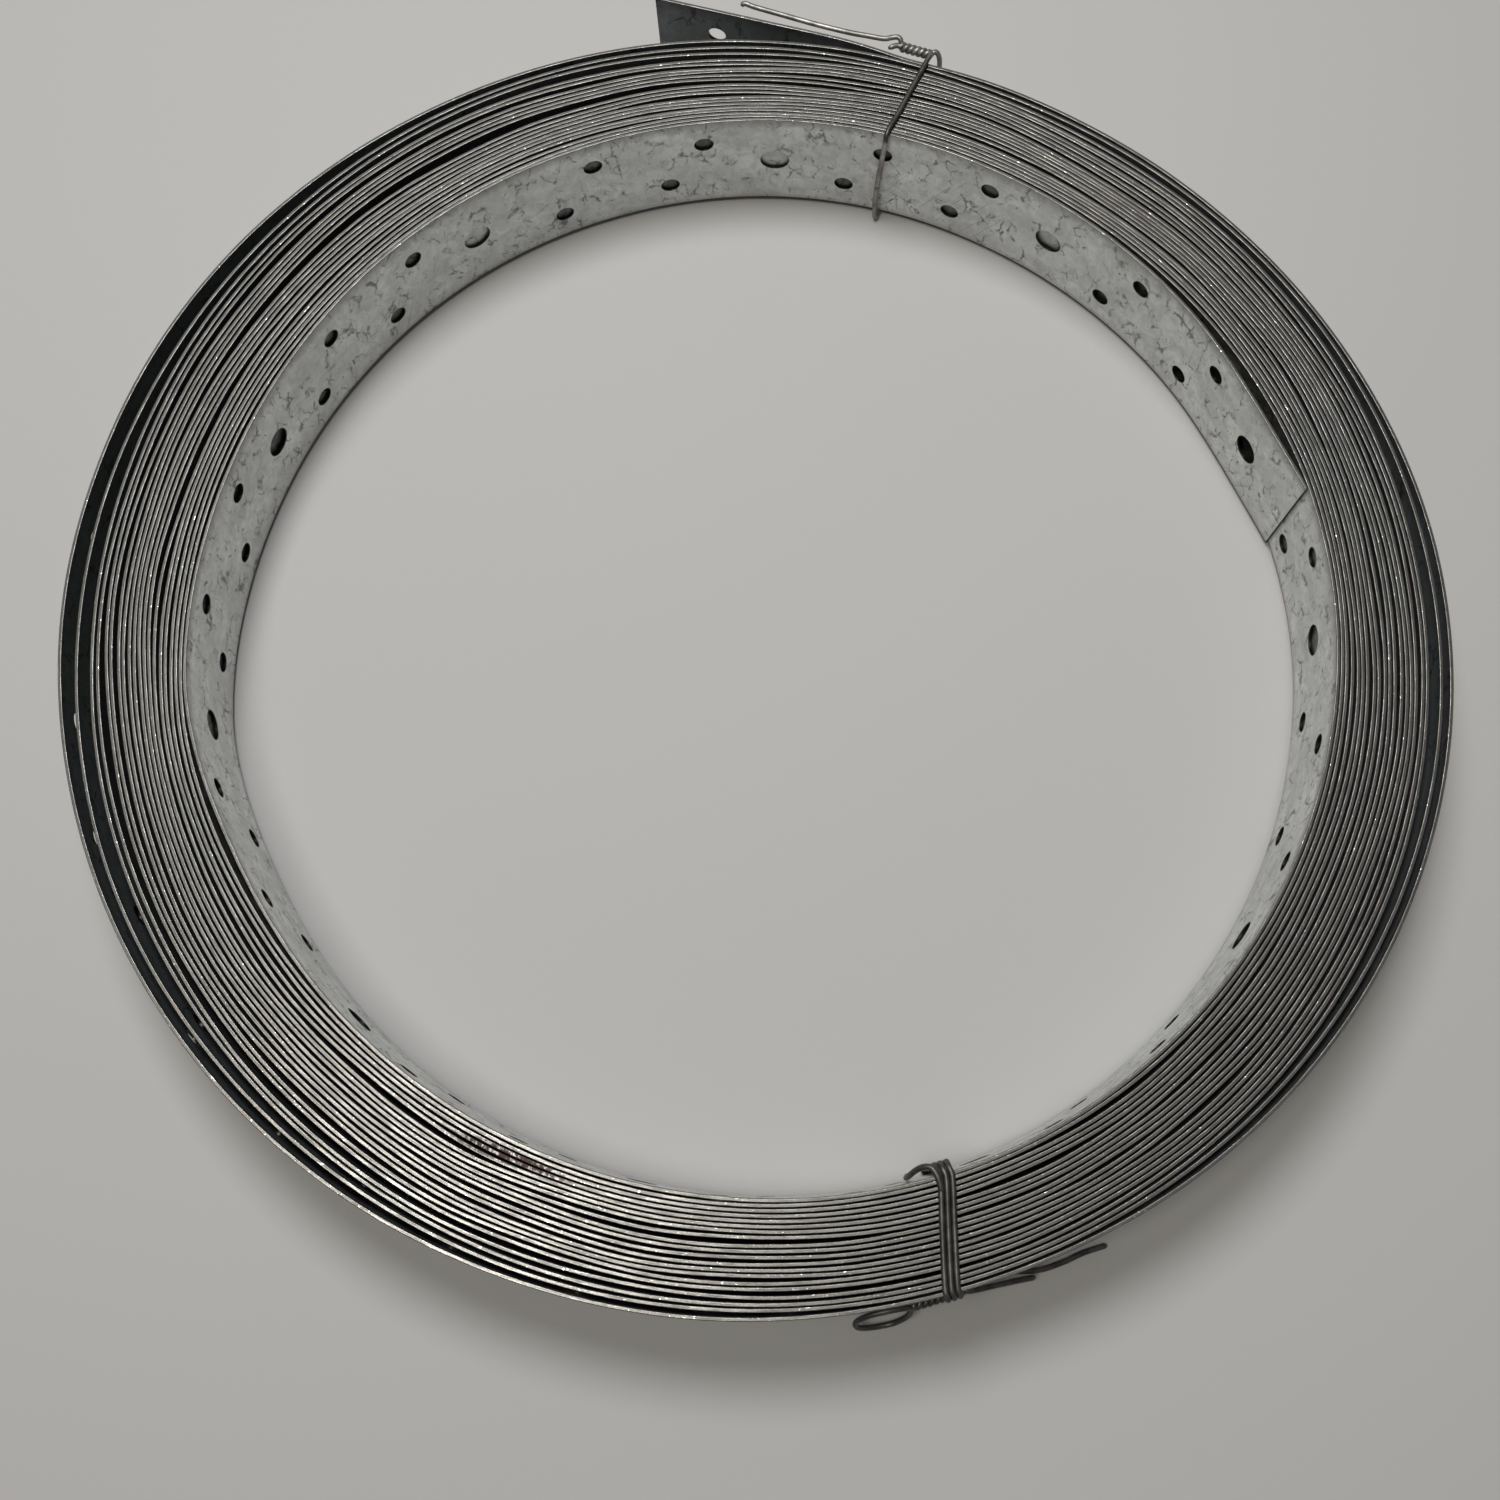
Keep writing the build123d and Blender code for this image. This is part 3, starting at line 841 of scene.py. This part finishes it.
def galvanised_face(route):
    """Dull zinc coating: blotches, cracks, flecks and scratches, darker along both margins, with painted
    shade between the turns and a painted pool of light behind the large holes.
    """
    make = Maker("galvanised_face")
    place = make.place_on_strap()
    along, across, depth = make.parts(place, "X", "Y", "Z")
    blotch = make.noise(place, (70, 110, 1), 4.0, 0.62)
    mottle = make.noise(place, (420, 300, 1), 3.0, 0.6, distort=0.8)
    grain = make.noise(place, (1500, 1200, 1), 2.0, 0.6)
    from_middle = make.math("ABSOLUTE", make.math("ADD", across, make.times(mottle, MARGIN_WANDER * MM)))
    margin = make.ramp(from_middle, *metres(MARGIN_FROM, MARGIN_TO), 0.0, 0.6)
    colour = make.mix(make.ramp(blotch, 0.33, 0.66), ZINC_DULL, ZINC_PALE)
    colour = make.mix(make.ramp(mottle, 0.36, 0.66, 0.0, 0.6), colour, ZINC_MOTTLE)
    colour = make.mix(make.ramp(grain, 0.42, 0.75, 0.0, 0.3), colour, ZINC_GRAIN)
    colour = make.mix(margin, colour, MARGIN_DARK)
    colour = make.mix(make.times(zinc_scratches(make, place), 0.5), colour, SCRATCH_DARK)
    colour = make.mix(make.times(zinc_marks(make, place, blotch, mottle), 0.8), colour, CRACK_DARK)
    colour = paint_shade_between_turns(make, route, along, depth, colour)
    colour = paint_shade_behind_holes(make, route, along, across, mottle, colour)
    normal = make.bump(grain, ZINC_ROUGH, 0.5, make.bump(mottle, ZINC_UNEVEN, 0.5))
    make.surface(base_color=colour, roughness=make.ramp(mottle, 0.3, 0.7, 0.42, 0.56), metallic=0.42,
                 normal=normal)
    return make.material


def rusted(make):
    """Where the edges have rusted: specks in one long narrow place on the near side of the coil."""
    place = make.place_in_part()
    inputs = {"Vector": place, "Location": metres(*RUST_CENTRE), "Rotation": (0, 0, RUST_TURN),
              "Scale": metres(*RUST_REACH)}
    moved = make.add("ShaderNodeMapping", inputs, vector_type="TEXTURE").outputs[0]
    reach = make.add("ShaderNodeVectorMath", {0: moved}, operation="LENGTH").outputs["Value"]
    specks = make.ramp(make.noise(place, (900, 500, 1), 3.0, 0.65), 0.45, 0.55)
    return make.times(make.ramp(reach, 0.55, 1.0, 1.0, 0.0), specks)


def sheared_edge():
    """Sheared steel: broken streaks along the cut, scattered glints, brown rust in one place, and painted
    shade on the hole walls.
    """
    make = Maker("sheared_edge")
    place = make.place_on_strap()
    across = make.parts(place, "Y")[0]
    torn = make.noise(place, (240, 1500, 3000), 3.0, 0.7)
    grain = make.noise(place, (2600, 2600, 3600), 2.0, 0.6)
    patch = make.noise(place, (40, 0, 0), 3.0, 0.6)
    glint = make.noise(place, (1500, 1500, 2400), 1.0)
    glinting = make.times(make.ramp(glint, 0.69, 0.76), make.ramp(patch, 0.42, 0.60))
    rust = rusted(make)
    punched = make.math("LESS_THAN", make.math("ABSOLUTE", across), WALL_WITHIN * MM)
    colour = make.mix(make.ramp(torn, 0.34, 0.66), STEEL_DARK, STEEL_PALE)
    colour = make.mix(make.ramp(patch, 0.44, 0.66, 0.0, 0.55), colour, STEEL_PATCH)
    colour = make.mix(make.ramp(grain, 0.50, 0.70, 0.0, 0.5), colour, STEEL_GRAIN)
    colour = make.mix(glinting, colour, GLINT)
    colour = make.mix(rust, colour, RUST)
    # Painted shade: edge faces near the strap's middle height, the hole walls and the middle of the cut
    # ends, are darkened
    colour = make.mix(punched, colour, HOLE_WALL_PAINTED_SHADE, "MULTIPLY")
    rough = make.math("ADD", make.ramp(torn, 0.3, 0.7, 0.38, 0.26), make.times(rust, 0.4))
    rough = make.math("SUBTRACT", rough, make.times(glinting, 0.12))
    metal = make.math("SUBTRACT", 0.9, make.times(rust, 0.8))
    normal = make.bump(grain, STEEL_ROUGH, 0.3, make.bump(torn, STEEL_UNEVEN, 0.45))
    make.surface(base_color=colour, roughness=rough, metallic=metal, normal=normal)
    return make.material


def tie_wire():
    """Soft annealed wire, dull grey with lighter rubbed places, darker over the coil and on the lower tie,
    the latter partly painted shade.
    """
    make = Maker("tie_wire")
    place = make.place_in_part()
    worn = make.noise(place, (320, 320, 320), 3.0, 0.6)
    fine = make.noise(place, (2200, 2200, 2200), 2.0, 0.6)
    toward_back, up = make.parts(place, "Y", "Z")
    over = make.times(make.ramp(up, *metres(*OVER_COIL)),
                      make.ramp(toward_back, *metres(*OUTSIDE_COIL), 1.0, 0.0))
    # Over the coil the wire is darker in itself; the whole lower tie is darker too, partly as painted shade
    # for its loop and tails under the coil
    dark = make.math("MAXIMUM", over, make.math("LESS_THAN", toward_back, 0.0))
    colour = make.mix(make.ramp(worn, 0.38, 0.66), WIRE_DARK, WIRE_PALE)
    colour = make.mix(dark, colour, WIRE_DARKER_AND_PAINTED_SHADE, "MULTIPLY")
    make.surface(base_color=colour, roughness=make.ramp(fine, 0.3, 0.7, 0.38, 0.54), metallic=0.85,
                 normal=make.bump(fine, WIRE_ROUGH, 0.5))
    return make.material


def make_camera():
    """The photograph's viewpoint: above the coil toward its front, looking down and a little back."""
    camera = bpy.data.objects.new("camera", bpy.data.cameras.new("camera"))
    camera.data.sensor_width = SENSOR
    camera.data.lens = LENS
    camera.data.clip_start = NEAREST * MM
    about_x, about_y, about_z = (Matrix.Rotation(turn, 4, axis) for turn, axis in zip(CAMERA_TURNS, "XYZ"))
    place = Matrix.Translation(Vector(CAMERA_PLACE) * MM)
    camera.matrix_world = place @ about_z @ about_y @ about_x
    bpy.context.scene.collection.objects.link(camera)
    bpy.context.scene.camera = camera


def make_floor():
    """A plain matt floor."""
    half = FLOOR_HALF
    corners = [(-half, -half, 0), (half, -half, 0), (half, half, 0), (-half, half, 0)]
    mesh = bpy.data.meshes.new("floor")
    mesh.from_pydata(corners, [], [(0, 1, 2, 3)])
    floor = bpy.data.objects.new("floor", mesh)
    bpy.context.scene.collection.objects.link(floor)
    make = Maker("floor")
    make.surface(base_color=FLOOR_COLOUR, roughness=FLOOR_ROUGHNESS)
    make.shader.inputs["Specular IOR Level"].default_value = FLOOR_GLOSS
    mesh.materials.append(make.material)


def area_lamp(name, place, target, size, power, colour=(1.0, 1.0, 1.0)):
    """A round lamp at this place that faces the target."""
    lamp = bpy.data.lights.new(name, "AREA")
    lamp.shape = "DISK"
    lamp.size = size
    lamp.energy = power
    lamp.color = colour
    lamp_object = bpy.data.objects.new(name, lamp)
    lamp_object.location = place
    lamp_object.rotation_euler = (Vector(target) - Vector(place)).to_track_quat("-Z", "Y").to_euler()
    bpy.context.scene.collection.objects.link(lamp_object)


def make_light():
    """A dim even surrounding, a window high behind on the left, and a warmer lamp on the ceiling."""
    scene = bpy.context.scene
    scene.view_settings.view_transform = "Standard"
    scene.world = bpy.data.worlds.new("studio")
    scene.world.use_nodes = True
    background = scene.world.node_tree.nodes["Background"]
    background.inputs["Color"].default_value = (*SKY_COLOUR, 1.0)
    background.inputs["Strength"].default_value = SKY_STRENGTH
    area_lamp("window", place=(-0.13, 0.20, 0.72), target=(-0.05, 0.05, 0), size=0.28, power=3.4)
    area_lamp("ceiling", place=(-0.26, -0.24, 1.5), target=(0, 0, 0), size=0.36, power=5.7,
              colour=(1.0, 0.955, 0.88))


route = Route()
make_strap(route, [galvanised_face(route), sheared_edge()])
wire_finish = tie_wire()
make_tie("upper_tie", "upper_tie_wire", upper_tie_paths(), wire_finish)
make_tie("lower_tie", "lower_tie_wire", lower_tie_paths(), wire_finish)
make_camera()
make_floor()
make_light()
